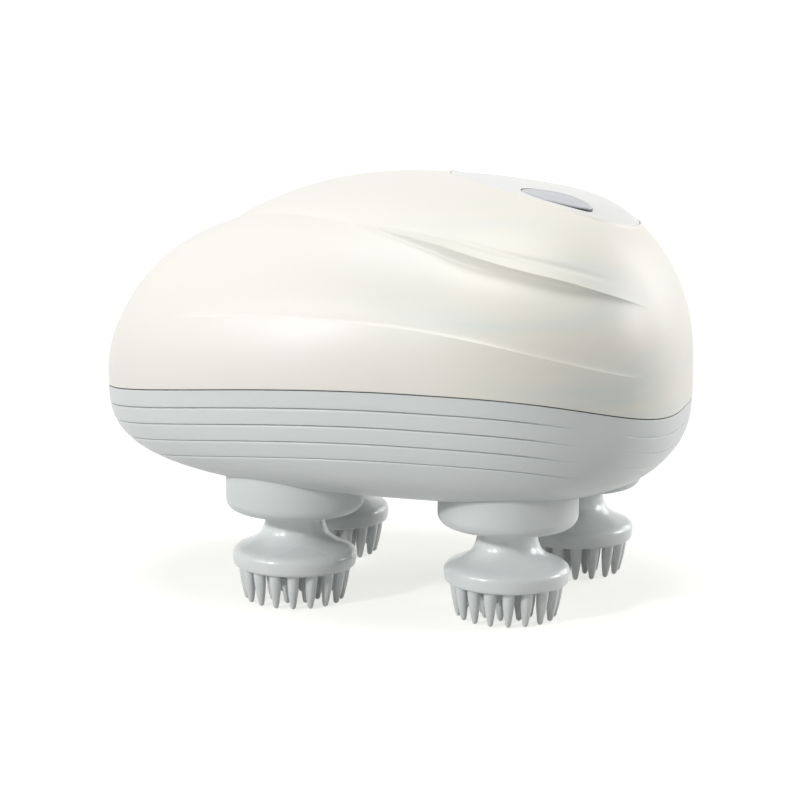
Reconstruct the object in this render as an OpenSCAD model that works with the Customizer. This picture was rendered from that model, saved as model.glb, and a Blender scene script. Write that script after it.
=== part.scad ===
// Four-headed electric scalp massager, in millimetres.
// The origin lies on the table under the middle of the body, +X along the body towards the
// blunt end, +Z up. The massager stands on the tips of its silicone teeth.

/* [Body] */
// Length from the plan's widest point to the slender end
body_left = 75; // [66:1:84]
// Length from the plan's widest point to the blunt end
body_right = 47; // [42:1:52]
// Half of the body's width
body_half_w = 45; // [42:1:50]
// Where along X the body is widest
widest_x = 14; // [10:1:18]
// How square the plan outline is (2 is an ellipse)
plan_exp = 2.6; // [2.2:0.1:3]
// Height of the widest line above the table
waist_z = 45.7; // [44:0.5:49]
// Rise of the dome above the widest line
dome_rise = 41.9; // [39:0.5:45]
// Depth of the belly below the widest line
belly_drop = 22.4; // [21:0.5:24]
// Fullness of the dome towards the slender end
dome_full_left = 1.86; // [1.7:0.05:2.1]
// Fullness of the dome towards the blunt end
dome_full_right = 2.5; // [2.3:0.05:2.8]
// Fullness of the belly
belly_full = 3.6; // [3:0.1:4]
// How far the crest sinks over 60 mm towards the blunt end
crest_sink = 2.1; // [0:0.1:3]
// Rise of the crown over the slender half
crown_bump = 0.5; // [0:0.1:0.8]
// Dip of the crest under the top panel
panel_dip = 0.7; // [0:0.1:1]
// Rise of the corner where the panel ends over the blunt end
corner_bump = 0.9; // [0:0.1:1.1]

/* [Shell] */
// Wall of both shells
wall = 2.2; // [1.8:0.1:2.6]
// Wall of the cover under the top panel
crown_wall = 3.6; // [3.2:0.1:4.2]
// Height of the parting line at its highest
parting_crown = 49.2; // [48:0.2:51]
// How far the parting line falls to each end
parting_fall = 7.8; // [6:0.2:8.6]
// Gap between the two shells, filled by the seam seal
seam_gap = 0.5; // [0.4:0.05:0.8]
// Width of the seam seal
seam_seal_w = 1.2; // [1:0.1:1.6]
// Distance of the belly grooves from each other
groove_pitch = 3.4; // [3:0.1:3.6]
// Depth of the belly grooves
groove_depth = 0.4; // [0.2:0.05:0.6]
// Number of belly grooves
groove_count = 4; // [3:1:4]

/* [Waves] */
// Height of the lower wave's edge at its highest
low_wave_z = 62; // [60:0.5:64]
// How far the lower wave's edge falls towards the blunt end
low_wave_fall = 11; // [8:0.5:12]
// Step at the lower wave's edge
low_wave_step = 0.7; // [0.3:0.1:1]
// Swell of the great wave over the shoulder of the slender end
great_swell = 1.2; // [0.6:0.1:1.4]
// Depth of the hollow beside the great wave's edge
great_hollow = 2.2; // [1.2:0.1:2.4]
// Height of the ridge that the great wave ends in
great_ridge = 0.7; // [0.3:0.1:0.9]
// Middle of the great wave's outline along X
great_x = 16; // [14:1:18]
// Reach of the great wave's outline to the slender end
great_left = 59.2; // [56:0.2:60]
// Reach of the great wave's outline to the blunt end
great_right = 43.7; // [41:0.1:44.5]
// Half width of the great wave's outline
great_half_w = 32; // [30:0.5:34]

/* [Top panel] */
// Middle of the panel along X
panel_x = 29; // [27:0.5:31]
// Middle of the panel along Y
panel_y = 7; // [5:0.5:8]
// Half length of the panel
panel_half_l = 19.6; // [18:0.1:20.4]
// Width of the panel from its middle to the front
panel_front_w = 19.3; // [18.8:0.1:20]
// Width of the panel from its middle to the back
panel_back_w = 16; // [14:0.5:17]
// Thickness of the panel
panel_t = 1.6; // [1.4:0.1:1.8]
// Width of the ledge that the panel lies on
panel_ledge = 1; // [0.8:0.1:1.2]
// Gap round the panel
panel_gap = 0.15; // [0.1:0.05:0.3]

/* [Power button] */
// Middle of the button along X
button_x = 34.8; // [33:0.2:35]
// Middle of the button along Y
button_y = -7.7; // [-7.8:0.1:-6]
// Length of the button
button_l = 15.2; // [13:0.2:15.4]
// Width of the button
button_w = 8.6; // [7:0.2:8.8]
// Turn of the button on the panel, in degrees
button_turn = -6; // [-8:1:0]
// Travel of the button
button_travel = 0.8; // [0.5:0.1:1]
// Gap round the button
button_gap = 0.25; // [0.15:0.05:0.4]
// Height of the crowned button above the panel
button_proud = 0.35; // [0.2:0.05:0.6]

/* [Massage heads] */
// Radius of the head's rim
rim_r = 12.85; // [12:0.05:13.4]
// Height of the widest part of the rim
rim_z = 8.85; // [8.5:0.05:9.5]
// Radius of the neck
neck_r = 6.1; // [5.6:0.1:6.3]
// Length of the teeth
tooth_l = 7.2; // [6.5:0.1:7.6]
// Radius of a tooth at its root
tooth_root_r = 1.3; // [1.1:0.05:1.4]
// Radius of a tooth at its tip
tooth_tip_r = 0.5; // [0.4:0.05:0.6]
// Number of teeth in the outer ring
outer_teeth = 17; // [12:1:18]
// Number of teeth in the inner ring
inner_teeth = 8; // [5:1:9]
// Radius of the outer ring of teeth at the tips
outer_ring_r = 9.7; // [9.5:0.1:9.9]
// Radius of the inner ring of teeth
inner_ring_r = 5; // [4.8:0.1:5.4]
// Lean of the outer teeth towards the axis, in degrees
tooth_lean = 5; // [0:1:6]
// Radius of the stiff core in the head
core_r = 4; // [3.6:0.1:4.4]

/* [Collars] */
// Radius of the collars under the body
collar_r = 14.3; // [14:0.1:14.8]
// Height of the collars' lower face
collar_z = 19.1; // [18.6:0.1:19.4]
// Rounding of the collars' lower edge
collar_round = 2.4; // [1.6:0.1:3]
// Gap round the neck in the collar's mouth
neck_gap = 0.6; // [0.4:0.1:0.9]
// Gap between a collar and the hole in the lower shell
collar_gap = 0.1; // [0.05:0.05:0.2]
// Skew of each pair of heads along X
head_skew = 2.4; // [1:0.2:4]

/* [Gear train] */
// Module of the slow gears
slow_module = 1; // [0.98:0.01:1.02]
// Teeth of each head gear
head_gear_teeth = 26; // [24:2:26]
// Teeth of the idler's small gear
idler_pinion_teeth = 16; // [16:2:18]
// Teeth of the idler's large gear
idler_wheel_teeth = 36; // [34:2:36]
// Teeth of the centre pinion
centre_pinion_teeth = 14; // [14:2:16]
// Module of the fast gears
fast_module = 0.6; // [0.58:0.01:0.61]
// Teeth of the centre wheel
centre_wheel_teeth = 70; // [68:2:72]
// Teeth of the motor pinion
motor_pinion_teeth = 10; // [10:2:12]
// Backlash of the slow gears
slow_backlash = 0.2; // [0.15:0.05:0.3]
// Backlash of the fast gears
fast_backlash = 0.16; // [0.1:0.02:0.2]
// Face width of the head gears
head_gear_w = 5; // [4:0.5:5]
// Face width of the idler wheels
idler_wheel_w = 4; // [3:0.5:4]
// Face width of the centre wheel
centre_wheel_w = 3; // [2:0.5:3]
// Radius of the head spindles
spindle_r = 2; // [1.8:0.1:2.2]
// Radius of the gear pins
pin_r = 1.5; // [1.2:0.1:1.6]
// Radial running clearance on spindles and pins
run_gap = 0.05; // [0.02:0.01:0.1]
// Axial gap between turning pieces
axial_gap = 0.5; // [0.3:0.1:0.6]
// Middle of the gear train along X
train_x = 6.4; // [5:0.2:8]

/* [Gearbox] */
// Height of the lower face of the gearbox base
base_z = 31.5; // [31.2:0.1:32]
// Thickness of the gearbox plates
plate_t = 2; // [1.6:0.1:2.2]
// Height of the room between the gearbox plates
gear_room = 19.5; // [19.2:0.1:20]
// Radius of the gearbox posts
post_r = 3; // [2.6:0.1:3.2]
// Outer radius of the spindle bushes
bush_r = 4; // [3.6:0.1:4.2]

/* [Motor and power] */
// Radius of the motor
motor_r = 12.2; // [11:0.1:12.2]
// Length of the motor can
motor_l = 14; // [12:0.5:14]
// Length of the battery cell
battery_l = 50; // [40:1:54]
// Width of the battery cell
battery_w = 34; // [28:1:36]
// Thickness of the battery cell
battery_t = 10; // [8:0.5:11]
// Width of the charging slot
slot_w = 9.4; // [9:0.1:10]
// Height of the charging slot
slot_h = 3.6; // [3.4:0.1:3.9]

/* [Hidden] */
CORNERS = ["front_left", "front_right", "rear_right", "rear_left"];

white = "#f3f1ea";
pale_grey = "#c9cdd0";
silicone_grey = "#c4cacd";
rubber_grey = "#55585b";
steel = "#b9bcc0";
bronze = "#b08d57";
nylon = "#e8e4d8";
board_green = "#2e6b45";
cell_blue = "#3f6f9f";

segments = 72;
hair = 0.01;

// ---- The sculpted body ------------------------------------------------------------------

function spow(v, e) = sign(v) * pow(abs(v), e);
function mix(a, b, w) = a + (b - a) * w;
function clamp(v, lo, hi) = min(max(v, lo), hi);
function smooth(v) = let (w = clamp(v, 0, 1)) w * w * (3 - 2 * w);
function tanh(v) = let (a = exp(2 * v)) (a - 1) / (a + 1);

// The angles round the body, from the blunt end, counter-clockwise from above
ANGLES = [for (i = [0:segments - 1]) let (a = i * 360 / segments) a > 180 ? a - 360 : a];

function dir_x(t) = spow(cos(t), 2 / plan_exp);
function dir_y(t) = spow(sin(t), 2 / plan_exp);
function half_x(dx, inset) = (dx < 0 ? body_left : body_right) - inset;
function dome_full(dx) = (dome_full_left + dome_full_right) / 2
    + (dome_full_right - dome_full_left) / 2 * tanh(1.6 * dx);

// Full height of the dome over the waist, x measured from the widest point
function crest_rise(x) = dome_rise - crest_sink * x / 60 + crown_bump * exp(-pow((x + 30) / 15, 2))
    - panel_dip * exp(-pow((x - 9) / 12, 2)) + corner_bump * exp(-pow((x - 30) / 9, 2));

// A point of the dome at angle t and relative height h (0 at the waist, 1 at the crest)
function dome_point(t, h, inset = 0, rise = dome_rise) =
    let (dx = dir_x(t), n = dome_full(dx), s = pow(max(1 - pow(h, n), 0), 1 / n),
         x = half_x(dx, inset) * dx * s)
    [widest_x + x, (body_half_w - inset) * dir_y(t) * s,
     waist_z + h * (crest_rise(x) - dome_rise + rise)];

// A point of the belly at angle t and relative depth h (0 at the waist, 1 at the bottom)
function belly_point(t, h, inset = 0) =
    let (dx = dir_x(t), s = pow(max(1 - pow(h, belly_full), 0), 1 / belly_full))
    [widest_x + half_x(dx, inset) * dx * s, (body_half_w - inset) * dir_y(t) * s,
     waist_z - h * (belly_drop - inset)];

function rise_at(t) = let (dx = dir_x(t)) crest_rise(half_x(dx, 0) * dx);
// A point of the body's side at angle t and height z, on the dome or on the belly
function side_point(t, z, inset = 0) = z >= waist_z
    ? dome_point(t, (z - waist_z) / (rise_at(t) - inset), inset, dome_rise - inset)
    : belly_point(t, (waist_z - z) / (belly_drop - inset), inset);

// Relative distance of a plan point from the middle, and its height on the dome
function plan_radius(p) = let (x = p[0] - widest_x)
    pow(pow(abs(x / half_x(x, 0)), plan_exp) + pow(abs(p[1] / body_half_w), plan_exp),
        1 / plan_exp);
function dome_h(p) =
    let (r = max(plan_radius(p), 0.001), x = p[0] - widest_x, n = dome_full(x / half_x(x, 0) / r))
    pow(max(1 - pow(r, n), 0), 1 / n);
function on_dome(p) = [p[0], p[1],
    waist_z + dome_h(p) * crest_rise(p[0] - widest_x)];

// Outward direction of the body at a point
function outward(p) =
    let (up = p[2] >= waist_z, x = p[0] - widest_x, ux = x / half_x(x, 0),
         uy = p[1] / body_half_w, r = max(plan_radius(p), 0.001),
         n = up ? dome_full(ux / r) : belly_full, c = up ? dome_rise : belly_drop,
         v = [pow(r, n - plan_exp) * spow(ux, plan_exp - 1) / half_x(x, 0),
              pow(r, n - plan_exp) * spow(uy, plan_exp - 1) / body_half_w,
              spow((p[2] - waist_z) / c, n - 1) / c])
    v / max(norm(v), 0.000001);
function lift(p, d) = p + outward(p) * d;

// Height of the parting line: an arch along X, the same on the front and on the back
function parting_z(x) = parting_crown - parting_fall * (x < widest_x
    ? pow((widest_x - x) / body_left, 2) : pow((x - widest_x) / body_right, 3));
function parting_at(t) = let (dx = dir_x(t)) parting_z(widest_x + half_x(dx, 0) * dx);

// The edge of the lower wave
function low_wave_at(t) = let (dx = dir_x(t), x = widest_x + half_x(dx, 0) * dx)
    low_wave_z - low_wave_fall * pow(abs(x + 8) / 66, x < -8 ? 2.2 : 2.6);
// An egg in plan: half lengths to the left and right, half width, bluntness and squareness
function egg(t, x0, left, right, half_w, blunt, square_left, square_right) =
    let (e = 2 / (cos(t) < 0 ? square_left : square_right), cx = spow(cos(t), e))
    [x0 + (cos(t) < 0 ? left : right) * cx, half_w * spow(sin(t), e) * (1 + blunt * cx)];
// The edge of the great wave
function great_plan(t) = egg(t, great_x, great_left, great_right, great_half_w, 0.45, 2.44, 2);
// The edge of the top panel, inset by a gap
PANEL_MID = [panel_x, panel_y];
function panel_plan(t, gap = 0) = [0, panel_y]
    + egg(t, panel_x, panel_half_l - gap, panel_half_l - gap,
        (sin(t) < 0 ? panel_front_w : panel_back_w) - gap, 0.33, 2.8, 2.3);

function plan_angle(p) =
    let (r = max(plan_radius(p), 0.001), x = p[0] - widest_x, ux = x / half_x(x, 0) / r,
         uy = p[1] / body_half_w / r)
    atan2(spow(uy, plan_exp / 2), spow(ux, plan_exp / 2));

// Both waves die out where the sides meet in the blunt end
function end_fade(x) = smooth((1 - x) / 0.14);

// How far the surface stands above the plain dome near the waves' edges.
// below and above are distances in mm from an edge, along the surface
function low_wave_lift(t, below, above) =
    let (x = dir_x(t), fade = smooth((x + 0.72) / 0.25) * end_fade(x))
    low_wave_step * fade * (above > 0
        ? 0.7 * exp(-above / 0.7) - 0.3 * exp(-above / 7) * (1 - exp(-above / 0.7))
        : 0.7 * exp(-below / 9));
great_lip = 0.1;
function great_wave_lift(t, below, above) =
    let (x = dir_x(t), all = smooth((x + 0.38) / 0.5), turn = all * end_fade(x), rest = 1 - all)
    above > 0
        ? -rest * (great_lip * exp(-above / 0.9) + great_hollow * exp(-above / 8)
              * (1 - exp(-above / 0.9)))
          + turn * great_ridge * exp(-above / 2)
        : rest * (great_swell * exp(-below / 14) * (1 - exp(-below / 6)) - great_lip * exp(-below / 3))
          + turn * (great_ridge * exp(-below / 0.8)
              - great_hollow * 0.75 * exp(-below / 5) * (1 - exp(-below / 0.8)));

// Rings of the cover, from the parting line up to the edge of the top panel
LOW_STEPS = [0, 0.03, 0.3, 0.6, 0.85, 0.96, 1];
MID_STEPS = [0.02, 0.06, 0.2, 0.42, 0.64, 0.8, 0.9, 0.96, 0.985, 1];
TOP_STEPS = [0.025, 0.06, 0.14, 0.3, 0.5, 0.7, 0.86, 0.96, 0.99, 1];

function seam_round(w) = w == 0 ? -0.25 : 0;
function low_ring(w) = [for (t = ANGLES)
    let (z0 = parting_at(t) + seam_gap / 2, z1 = low_wave_at(t))
    lift(side_point(t, mix(z0, z1, w)),
        seam_round(w) + low_wave_lift(t, (z1 - z0) * (1 - w), 0))];
function mid_ring(w) = [for (t = ANGLES)
    let (g = great_plan(t), a = plan_angle(g), h1 = (low_wave_at(t) - waist_z) / rise_at(t),
         h2 = dome_h(g), span = norm(on_dome(g) - side_point(t, low_wave_at(t))))
    lift(dome_point(mix(t, a, w), mix(h1, h2, w)),
        low_wave_lift(t, 0, span * w) + great_wave_lift(t, span * (1 - w), 0))];
function top_ring(w) = [for (t = ANGLES)
    let (g = great_plan(t), p = panel_plan(t), span = norm(on_dome(p) - on_dome(g)))
    lift(on_dome(mix(g, p, w)), great_wave_lift(t, 0, span * w) + (w == 1 ? -0.15 : 0))];
function panel_ring(w, gap, sink) = [for (t = ANGLES)
    let (p = on_dome(mix(panel_plan(t, gap), PANEL_MID, w))) [p[0], p[1], p[2] - sink]];

// A closed solid through rings of equal length, the first ring lowest, with a fan at each end
module loft(rings, low_tip, high_tip) {
    n = len(rings[0]);
    k = len(rings);
    points = concat([low_tip], [for (r = rings) each r], [high_tip]);
    faces = concat(
        [for (i = [0:n - 1]) [0, 1 + i, 1 + (i + 1) % n]],
        [for (j = [0:k - 2]) for (i = [0:n - 1])
            let (a = 1 + j * n + i, b = 1 + j * n + (i + 1) % n) each [[a, a + n, b], [b, a + n, b + n]]],
        [for (i = [0:n - 1]) let (a = 1 + (k - 1) * n + i, b = 1 + (k - 1) * n + (i + 1) % n)
            [a, 1 + k * n, b]]);
    polyhedron(points, faces, 4);
}

SEAM_TIP = [widest_x, 0, parting_crown];
seal_clear = 0.06;

function groove_fade(x) = x < 36 ? 1 : x < 47 ? (47 - x) / 11 : x < 54 ? 0
    : 0.4 * min(1, (x - 54) / 4);
function belly_ring(drop, depth) = [for (t = ANGLES)
    let (p = side_point(t, parting_at(t) - seam_gap / 2 - drop))
    lift(p, -depth * groove_fade(p[0]))];
function floor_ring(w, last) = [for (t = ANGLES)
    let (p = side_point(t, parting_at(t) - seam_gap / 2 - last), s = plan_radius(p) * (1 - w))
    belly_point(t, pow(1 - pow(s, belly_full), 1 / belly_full))];

GROOVE_RINGS = [for (k = [groove_count:-1:1]) each [
    [k * groove_pitch + 0.5, 0], [k * groove_pitch + 0.12, groove_depth],
    [k * groove_pitch - 0.12, groove_depth], [k * groove_pitch - 0.3, 0]]];
FLOOR_STEPS = [0.8, 0.6, 0.42, 0.28, 0.16, 0.07];

module belly_solid() {
    last = groove_count * groove_pitch + 0.5;
    loft(concat(
        [for (w = FLOOR_STEPS) floor_ring(w, last)],
        [for (g = GROOVE_RINGS) belly_ring(g[0], g[1])],
        [belly_ring(0.25, 0), [for (p = belly_ring(0, 0)) lift(p, -0.25)]]),
        [widest_x, 0, waist_z - belly_drop], SEAM_TIP - [0, 0, seam_gap / 2]);
}

CAVITY_STEPS = [0.12, 0.35, 0.6, 0.8, 0.92, 0.985];
module belly_cavity() {
    loft(concat(
        [for (i = [len(CAVITY_STEPS) - 1:-1:0]) [for (t = ANGLES) belly_point(t, CAVITY_STEPS[i], wall)]],
        [[for (t = ANGLES) side_point(t, waist_z, wall)],
         [for (t = ANGLES) side_point(t, waist_z, wall) + [0, 0, 8]]]),
        [widest_x, 0, waist_z - belly_drop + wall], [widest_x, 0, waist_z + 8]);
}

module dome_solid() {
    loft(concat(
        [for (w = LOW_STEPS) low_ring(w)], [for (w = MID_STEPS) mid_ring(w)],
        [for (w = TOP_STEPS) top_ring(w)],
        [panel_ring(0, 0, panel_t), panel_ring(0.5, 0, panel_t)]),
        SEAM_TIP + [0, 0, seam_gap / 2], on_dome(PANEL_MID) - [0, 0, panel_t]);
}

module dome_cavity() {
    loft(concat(
        [[for (t = ANGLES) side_point(t, waist_z, wall) - [0, 0, 8]]],
        [for (h = CAVITY_STEPS) [for (t = ANGLES)
            dome_point(t, h, wall + (crown_wall - wall) * h, dome_rise - crown_wall)]]),
        [widest_x, 0, waist_z - 8], [widest_x, 0, waist_z + dome_rise - crown_wall]);
}

// ---- Places that pieces share -----------------------------------------------------------

slow_reach = slow_module * (head_gear_teeth + idler_pinion_teeth) / 2;
idler_reach = slow_module * (idler_wheel_teeth + centre_pinion_teeth) / 2;
motor_reach = fast_module * (centre_wheel_teeth + motor_pinion_teeth) / 2;
head_dy = sqrt(pow(slow_reach, 2) - pow(head_skew, 2));

CENTRE = [train_x, 0];
IDLERS = [CENTRE - [idler_reach, 0], CENTRE + [idler_reach, 0]];
MOTOR = CENTRE + [0, motor_reach];
// Each head's idler, and the direction from that idler to the head
HEAD_IDLER = [0, 1, 1, 0];
HEAD_STEP = [[head_skew, -head_dy], [-head_skew, -head_dy], [head_skew, head_dy], [-head_skew, head_dy]];
HEADS = [for (i = [0:3]) IDLERS[HEAD_IDLER[i]] + HEAD_STEP[i]];
function head_angle(i) = atan2(HEAD_STEP[i][1], HEAD_STEP[i][0]);

base_top = base_z + plate_t;
top_z = base_top + gear_room;
POSTS = [[-45, 0], [train_x, -32], [-9, 35.5], [21.8, 35.5]];
screw_r = 1.1;
screw_bite = 2;

neck_top = collar_z + 3.1;
bush_z = neck_top + 0.8;
bush_flange_t = 0.6;
head_gear_z = base_top + bush_flange_t + 0.4;
idler_wheel_z = head_gear_z + head_gear_w + 2 * axial_gap;
centre_wheel_z = base_top + motor_l + axial_gap;
core_z = 9.5;
core_floor = 1;

COVER_SCREWS = [[-47, -13], [-47, 13]];
cover_boss_r = 3.4;
cover_screw_r = 1.3;
cover_screw_seat = 31;
cover_boss_z = 38;
screw_in_cover = 8;
// Bosses and cutters start far enough out to pass through the wall
boss_reach = 12;
cut_reach = 12;

BUTTON = on_dome([button_x, button_y]);
// The panel's own slope at the button, from two short steps across it
function step_on_dome(d) = on_dome([button_x, button_y] + d) - on_dome([button_x, button_y] - d);
BUTTON_OUT = let (v = cross(step_on_dome([0.5, 0]), step_on_dome([0, 0.5]))) v / norm(v);
button_tilt = acos(BUTTON_OUT[2]);
button_way = atan2(BUTTON_OUT[1], BUTTON_OUT[0]);
button_cap_t = 3;
button_lip = 0.6;
stem_r = 1.5;
stem_l = 2.6;
plunger_gap = 0.1;
board_t = 1.2;
switch_h = 1.8;
plunger_h = 0.3;
board_z = -(button_cap_t + 1 + stem_l + button_travel + plunger_gap + plunger_h + switch_h);
BOARD_POSTS = [[-10, 2], [-3, 7], [6.5, 6.2]];
board_post_r = 1.3;
board_post_top = -1.6;

battery_z = top_z + plate_t + 1;
standoff_h = 1.5;
control_z = top_z + plate_t + standoff_h;
control_l = 36;
control_w = 17;
STANDOFFS = [CENTRE + [-6, 21.5], POSTS[3] - [0, 5]];
standoff_r = 1.6;
// The charging socket stands on the control board, just inside the wall behind the slot
socket_gap = 0.2;
socket_l = 8.5;
port_x = widest_x;
port_z = control_z + board_t + slot_h / 2 - socket_gap + 0.02;
port_h = (port_z + slot_h / 2 - waist_z) / (dome_rise - crown_wall);
port_wall_y = dome_point(90, port_h, wall + (crown_wall - wall) * port_h, dome_rise - crown_wall)[1];
board_back_gap = 1.2;

module at_button() {
    translate(BUTTON) rotate([0, button_tilt, button_way])
        rotate([0, 0, button_turn - button_way]) children();
}
module up(z) { translate([0, 0, z]) children(); }
module at(p, z = 0) { translate([p[0], p[1], z]) children(); }
module ring(outer, inner, h) {
    difference() {
        cylinder(r = outer, h = h, $fn = 64);
        up(-hair) cylinder(r = inner, h = h + 2 * hair, $fn = 64);
    }
}
function oval(l, w) = [for (a = [0:9:351]) [l / 2 * spow(cos(a), 1.06), w / 2 * spow(sin(a), 1.06)]];
module oval_bar(l, w, z0, z1) { up(z0) linear_extrude(z1 - z0) polygon(oval(l, w)); }
// A stadium through the wall along +Y
module slot_bar(w, h, l) {
    rotate([-90, 0, 0]) linear_extrude(l) union() {
        square([w - h, h], center = true);
        for (s = [-1, 1]) translate([s * (w - h) / 2, 0]) circle(d = h, $fn = 32);
    }
}

// ---- Shells -----------------------------------------------------------------------------

module lower_shell() {
    color(pale_grey) difference() {
        belly_solid();
        difference() {
            belly_cavity();
            for (p = POSTS) at(p, base_z - boss_reach)
                cylinder(r = post_r + 0.4, h = boss_reach, $fn = 48);
            for (p = COVER_SCREWS) at(p, base_z - boss_reach)
                cylinder(r = cover_boss_r, h = cover_boss_z - base_z + boss_reach, $fn = 48);
        }
        for (p = HEADS) at(p, base_z - cut_reach)
            cylinder(r = collar_r + collar_gap, h = 2 * cut_reach, $fn = 96);
        for (p = POSTS) at(p, base_z - screw_bite) cylinder(r = screw_r, h = 2 * screw_bite, $fn = 32);
        for (p = COVER_SCREWS) {
            at(p, cover_screw_seat - cut_reach)
                cylinder(r = cover_screw_r + 1.1, h = cut_reach, $fn = 32);
            at(p, cover_screw_seat - hair) cylinder(r = cover_screw_r, h = cut_reach, $fn = 32);
        }
    }
}

module cover() {
    color(white) difference() {
        dome_solid();
        difference() {
            dome_cavity();
            for (p = COVER_SCREWS) at(p, cover_boss_z + 0.1)
                cylinder(r = cover_boss_r, h = dome_rise, $fn = 48);
        }
        up(waist_z) linear_extrude(dome_rise)
            polygon([for (t = ANGLES) panel_plan(t, panel_ledge)]);
        for (p = COVER_SCREWS) at(p, cover_boss_z - 1)
            cylinder(r = cover_screw_r, h = screw_in_cover + 2, $fn = 32);
        translate([port_x, port_wall_y - 2, port_z]) slot_bar(slot_w, slot_h, cut_reach);
    }
    color(white) intersection() {
        union() for (p = COVER_SCREWS) at(p, cover_boss_z + 0.1)
            ring(cover_boss_r, cover_screw_r, parting_crown - cover_boss_z);
        belly_cavity();
    }
}

module top_panel() {
    color(pale_grey) difference() {
        union() {
            loft([panel_ring(0.75, panel_gap, panel_t), panel_ring(0.45, panel_gap, panel_t),
                panel_ring(0.2, panel_gap, panel_t), panel_ring(0, panel_gap, panel_t - 0.1),
                panel_ring(0, panel_gap, 0.25), panel_ring(0.03, panel_gap, 0.05),
                panel_ring(0.12, panel_gap, 0), panel_ring(0.35, panel_gap, 0),
                panel_ring(0.65, panel_gap, 0)],
                on_dome(PANEL_MID) - [0, 0, panel_t], on_dome(PANEL_MID));
            at_button() for (p = BOARD_POSTS) at(p, board_z)
                cylinder(r = board_post_r, h = board_post_top - board_z, $fn = 32);
        }
        at_button() {
            oval_bar(button_l + 2 * button_gap, button_w + 2 * button_gap, -4, 4);
            for (p = BOARD_POSTS) at(p, board_z - hair) cylinder(r = 0.6, h = 4, $fn = 24);
        }
    }
}

module seam_seal() {
    half = seam_gap / 2 - seal_clear;
    function rim(t, way) = side_point(t, parting_at(t) + way * half);
    function tip(way) = SEAM_TIP + [0, 0, way * half];
    function seal_ring(inset, way) = [for (t = ANGLES)
        mix(rim(t, way), tip(way), inset / norm(rim(t, way) - tip(way)))];
    n = segments;
    rings = [seal_ring(0.35, -1), seal_ring(0.35, 1), seal_ring(0.35 + seam_seal_w, 1),
        seal_ring(0.35 + seam_seal_w, -1)];
    color(rubber_grey) polyhedron([for (r = rings) each r],
        [for (j = [0:3]) for (i = [0:n - 1])
            let (a = j * n + i, b = j * n + (i + 1) % n, c = ((j + 1) % 4) * n + i,
                 d = ((j + 1) % 4) * n + (i + 1) % n) each [[a, c, b], [b, c, d]]], 4);
}

// ---- Power button -----------------------------------------------------------------------

crown_r = 42;
module power_button() {
    color(pale_grey) at_button() union() {
        intersection() {
            oval_bar(button_l, button_w, -button_cap_t, 2);
            up(button_proud - crown_r) sphere(r = crown_r, $fn = 96);
        }
        oval_bar(button_l + 2 * button_lip, button_w / 2, -button_cap_t - 1, -button_cap_t);
        up(-button_cap_t - 1 - stem_l) cylinder(r = stem_r, h = stem_l + hair, $fn = 32);
    }
}

module switch_board() {
    color(board_green) at_button() up(board_z - board_t) difference() {
        translate([-12, -4, 0]) cube([21, 13, board_t]);
        for (p = BOARD_POSTS) at(p, -hair) cylinder(r = 0.6, h = board_t + 2 * hair, $fn = 24);
    }
}

module tact_switch() {
    color("#2b2b2d") at_button() up(board_z) union() {
        translate([-3, -3, 0]) cube([6, 6, switch_h]);
        up(switch_h - hair) cylinder(r = 1, h = plunger_h + hair, $fn = 32);
    }
}

module board_screws() {
    color(steel) at_button() for (p = BOARD_POSTS) at(p, board_z - board_t) union() {
        up(-0.8) cylinder(r = 1.2, h = 0.8, $fn = 24);
        up(-hair) cylinder(r = 0.6, h = board_t + 3, $fn = 24);
    }
}

// ---- Massage heads ----------------------------------------------------------------------

function curve(a, b, c, d, n) = [for (i = [0:n]) let (t = i / n, u = 1 - t)
    u * u * u * a + 3 * u * u * t * b + 3 * u * t * t * c + t * t * t * d];

skirt_z = tooth_l + 0.1;
HEAD_PROFILE = concat(
    [[0, skirt_z + 0.3], [rim_r - 1.8, skirt_z + 0.3]],
    curve([rim_r - 1.4, skirt_z], [rim_r - 0.4, skirt_z + 0.05], [rim_r, rim_z - 0.8], [rim_r, rim_z], 4),
    curve([rim_r, rim_z + 0.3], [rim_r, rim_z + 1.6], [rim_r - 0.9, rim_z + 2.4],
        [rim_r - 2.2, rim_z + 3.1], 5),
    curve([rim_r - 2.6, rim_z + 3.3], [neck_r + 2.1, rim_z + 4.5], [neck_r + 0.4, rim_z + 6],
        [neck_r, rim_z + 9], 7),
    [[neck_r, neck_top], [0, neck_top]]);

// A tooth's side from its slender tip over a bottle's shoulder to its root
TOOTH_SIDE = [[mix(tooth_tip_r, tooth_root_r, 0.2), tooth_l * 0.3],
    [mix(tooth_tip_r, tooth_root_r, 0.62), tooth_l * 0.56],
    [mix(tooth_tip_r, tooth_root_r, 0.92), tooth_l * 0.8],
    [tooth_root_r, skirt_z + 0.4], [0, skirt_z + 0.4]];
module tooth() {
    tip = [for (a = [0:22.5:90]) [tooth_tip_r * sin(a), tooth_tip_r * (1 - cos(a))]];
    rotate_extrude($fn = 24) polygon(concat(tip, TOOTH_SIDE));
}

module flat_tooth() {
    tip = [[0, 0], [tooth_tip_r * 0.6, 0], [tooth_tip_r, tooth_tip_r * 0.6]];
    rotate_extrude($fn = 24) polygon(concat(tip, TOOTH_SIDE));
}

module head(i) {
    color(silicone_grey) at(HEADS[i]) union() {
        difference() {
            rotate_extrude($fn = 96) polygon(HEAD_PROFILE);
            up(core_z) cylinder(r = core_r, h = neck_top, $fn = 48);
        }
        for (k = [0:outer_teeth - 1]) rotate([0, 0, (k + 0.5) * 360 / outer_teeth])
            translate([outer_ring_r, 0, tooth_tip_r * (1 - cos(tooth_lean))])
                rotate([0, tooth_lean, 0]) tooth();
        for (k = [0:inner_teeth - 1]) rotate([0, 0, k * 360 / inner_teeth])
            translate([inner_ring_r, 0, 0]) flat_tooth();
    }
}

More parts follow.
